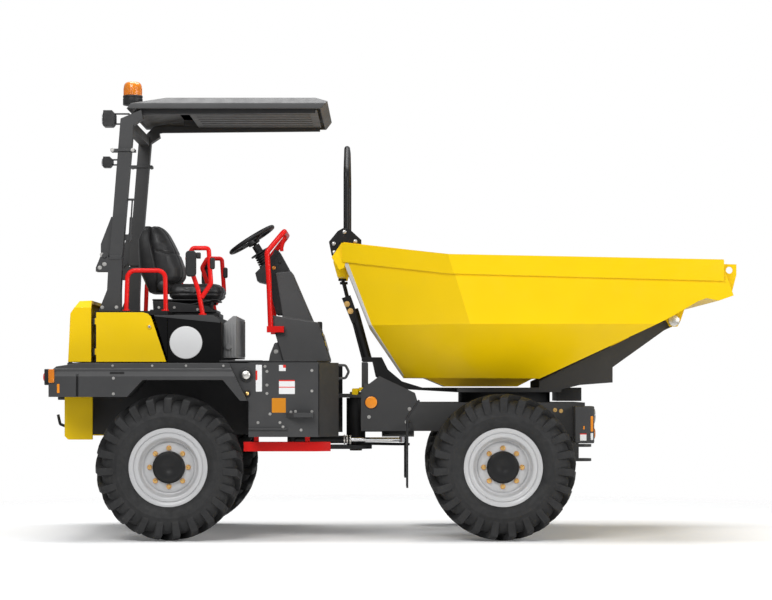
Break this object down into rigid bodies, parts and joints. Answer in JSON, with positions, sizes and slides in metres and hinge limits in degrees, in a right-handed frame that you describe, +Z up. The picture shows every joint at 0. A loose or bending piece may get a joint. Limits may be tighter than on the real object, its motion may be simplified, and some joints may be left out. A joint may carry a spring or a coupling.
{
  "type": "articulated wheel dumper with swivel-tip skip",
  "caption": "Pivot-steered site dumper with a swivelling, forward-tipping skip, open driver seat, folding roll-over frame with canopy, and lugged tyres.",
  "frame": {"origin": "on the ground, under the middle of the machine's overall box", "axes": "+X forward towards the skip, +Y the machine's left, +Z up"},
  "size_m": [4.259, 1.86, 2.886],
  "materials": {
    "yellow_paint": "gloss",
    "grey_paint": "satin",
    "black_paint": "satin",
    "red_paint": "gloss",
    "rim_silver": "satin",
    "tyre": "matte",
    "rubber": "matte",
    "vinyl": "satin",
    "plastic_black": "matte",
    "plastic_grey": "matte",
    "amber": "gloss",
    "lamp_black": "gloss",
    "engine_grey": "rough",
    "chrome": "polished"
  },
  "bodies": {
    "rear_frame": {"rear_axle": "black_paint", "rear_chassis": "grey_paint", "engine_block": "engine_grey", "rear_fenders": "grey_paint", "tail_cover": "yellow_paint", "platform": "rubber", "engine_frame": "black_paint", "seat_console": "black_paint", "console_front": "plastic_grey", "seat_base": "plastic_black", "seat_cushion": "vinyl", "seat_back": "vinyl", "column_shroud": "plastic_grey", "steering_column": "rubber", "grab_bar": "red_paint", "side_hoops": "red_paint", "rops_feet": "grey_paint", "tail_lamps": "amber", "lock_bar": "red_paint"},
    "wheel_rear_left": {"tyre_rear_left": "tyre", "rim_rear_left": "rim_silver"},
    "wheel_rear_right": {"tyre_rear_right": "tyre", "rim_rear_right": "rim_silver"},
    "wheel_front_left": {"tyre_front_left": "tyre", "rim_front_left": "rim_silver"},
    "wheel_front_right": {"tyre_front_right": "tyre", "rim_front_right": "rim_silver"},
    "door_left": {"engine_door_left": "yellow_paint"},
    "door_right": {"engine_door_right": "yellow_paint"},
    "hood": {"rear_hood": "yellow_paint"},
    "rops": {"rops_frame": "grey_paint", "canopy": "plastic_grey", "beacon": "amber", "work_lamps": "lamp_black"},
    "helm": {"steering_wheel": "plastic_black"},
    "link": {"pivot_link": "black_paint"},
    "steering_barrel": {"steer_barrel": "black_paint"},
    "steering_rod": {"steer_rod": "chrome"},
    "front_frame": {"front_chassis": "grey_paint", "front_axle": "black_paint", "mud_flaps": "rubber", "lamp_boxes": "lamp_black"},
    "swivel": {"swivel_console": "grey_paint", "prop_arms": "black_paint"},
    "tipping_barrel": {"tip_barrel": "black_paint"},
    "tipping_rod": {"tip_rod": "chrome"},
    "tub": {"skip": "yellow_paint", "guard_brackets": "black_paint"},
    "guard": {"guard_loop": "black_paint"}
  },
  "joints": [
    {"name": "rear_left_roll", "type": "hinge", "parent": "rear_frame", "child": "wheel_rear_left", "pos_m": [-1.372, 0.78, 0.453], "axis": [0, 1, 0], "continuous": true},
    {"name": "rear_right_roll", "type": "hinge", "parent": "rear_frame", "child": "wheel_rear_right", "pos_m": [-1.372, -0.78, 0.453], "axis": [0, 1, 0], "continuous": true},
    {"name": "front_left_roll", "type": "hinge", "parent": "front_frame", "child": "wheel_front_left", "pos_m": [0.688, 0.78, 0.453], "axis": [0, 1, 0], "continuous": true},
    {"name": "front_right_roll", "type": "hinge", "parent": "front_frame", "child": "wheel_front_right", "pos_m": [0.688, -0.78, 0.453], "axis": [0, 1, 0], "continuous": true},
    {"name": "articulation", "type": "hinge", "parent": "rear_frame", "child": "link", "pos_m": [-0.23, 0, 0.725], "axis": [0, 0, 1], "range_deg": [-33, 33]},
    {"name": "oscillation", "type": "hinge", "parent": "link", "child": "front_frame", "pos_m": [0, 0, 0.725], "axis": [1, 0, 0], "range_deg": [-6, 6]},
    {"name": "steering_barrel_swing", "type": "hinge", "parent": "rear_frame", "child": "steering_barrel", "pos_m": [-0.64, -0.21, 0.61], "axis": [0, 0, 1], "range_deg": [-14.6, 14.6]},
    {"name": "steering_rod_slide", "type": "slide", "parent": "steering_barrel", "child": "steering_rod", "axis": [1, 0, 0], "range_m": [-0.1234, 0.1234]},
    {"name": "skip_swivel", "type": "hinge", "parent": "front_frame", "child": "swivel", "pos_m": [0.74, 0, 0.88], "axis": [0, 0, 1], "range_deg": [-90, 90]},
    {"name": "skip_tip", "type": "hinge", "parent": "swivel", "child": "tub", "pos_m": [1.791, 0, 1.37], "axis": [0, 1, 0], "range_deg": [0, 46]},
    {"name": "tipping_barrel_swing", "type": "hinge", "parent": "swivel", "child": "tipping_barrel", "pos_m": [1.13, 0, 0.985], "axis": [0, -1, 0], "range_deg": [0, 26.68]},
    {"name": "tipping_rod_slide", "type": "slide", "parent": "tipping_barrel", "child": "tipping_rod", "axis": [0.8493, 0, 0.5279], "range_m": [0, 0.1417]},
    {"name": "guard_fold", "type": "hinge", "parent": "tub", "child": "guard", "pos_m": [-0.285, 0, 1.9], "axis": [0, 1, 0], "range_deg": [0, 90]},
    {"name": "rops_fold", "type": "hinge", "parent": "rear_frame", "child": "rops", "pos_m": [-1.807, 0, 1.776], "axis": [0, -1, 0], "range_deg": [0, 115]},
    {"name": "hood_open", "type": "hinge", "parent": "rear_frame", "child": "hood", "pos_m": [-2.04, 0, 1.112], "axis": [0, -1, 0], "range_deg": [0, 60]},
    {"name": "door_left_open", "type": "hinge", "parent": "rear_frame", "child": "door_left", "pos_m": [-1.862, 0.629, 1.26], "axis": [0, 0, 1], "range_deg": [0, 95]},
    {"name": "door_right_open", "type": "hinge", "parent": "rear_frame", "child": "door_right", "pos_m": [-1.862, -0.629, 1.26], "axis": [0, 0, -1], "range_deg": [0, 95]},
    {"name": "helm_turn", "type": "hinge", "parent": "rear_frame", "child": "helm", "pos_m": [-0.901, 0, 1.896], "axis": [-0.5299, 0, 0.848], "continuous": true}
  ],
  "couplings": [
    {"joint": "steering_barrel_swing", "follows": "articulation", "ratio": 0.4295},
    {"joint": "steering_rod_slide", "follows": "articulation", "m_per_rad": 0.208},
    {"joint": "tipping_barrel_swing", "follows": "skip_tip", "ratio": 0.5632},
    {"joint": "tipping_rod_slide", "follows": "skip_tip", "m_per_rad": 0.1714}
  ]
}
